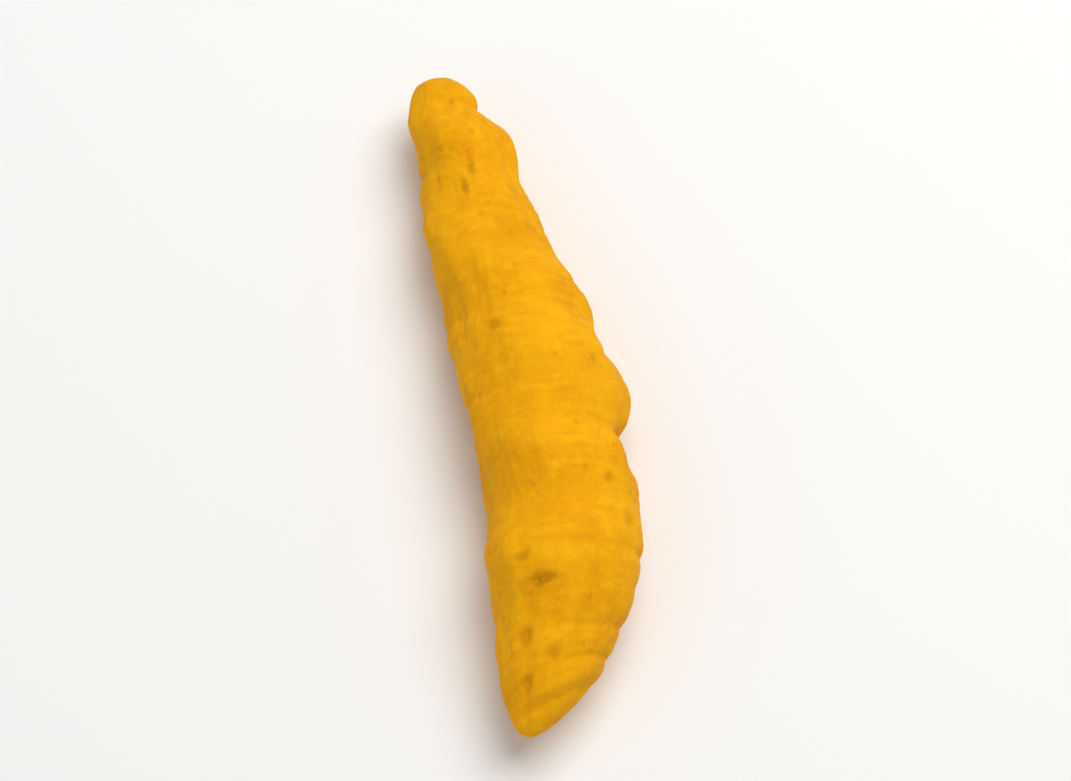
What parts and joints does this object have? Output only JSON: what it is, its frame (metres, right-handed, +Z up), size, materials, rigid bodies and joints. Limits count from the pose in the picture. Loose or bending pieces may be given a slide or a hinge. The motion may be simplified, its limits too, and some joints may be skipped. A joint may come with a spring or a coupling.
{
  "type": "turmeric root",
  "caption": "Dried, polished finger of turmeric root, gently bowed, with growth rings, buds and root scars; lies on its side as spice stock or kitchen dressing.",
  "frame": {"origin": "on the surface that the finger lies on, under the middle of its box", "axes": "+Y along the finger from its growing tip to its neck, where it broke off the mother root; +X to the side that it bows to; +Z up"},
  "size_m": [0.018, 0.068, 0.0135],
  "materials": {
    "turmeric_skin": "matte: dry skin of a cured root, drum-polished and dusted with its own golden yellow powder"
  },
  "bodies": {
    "root": {"turmeric_finger": "turmeric_skin"}
  },
  "joints": []
}
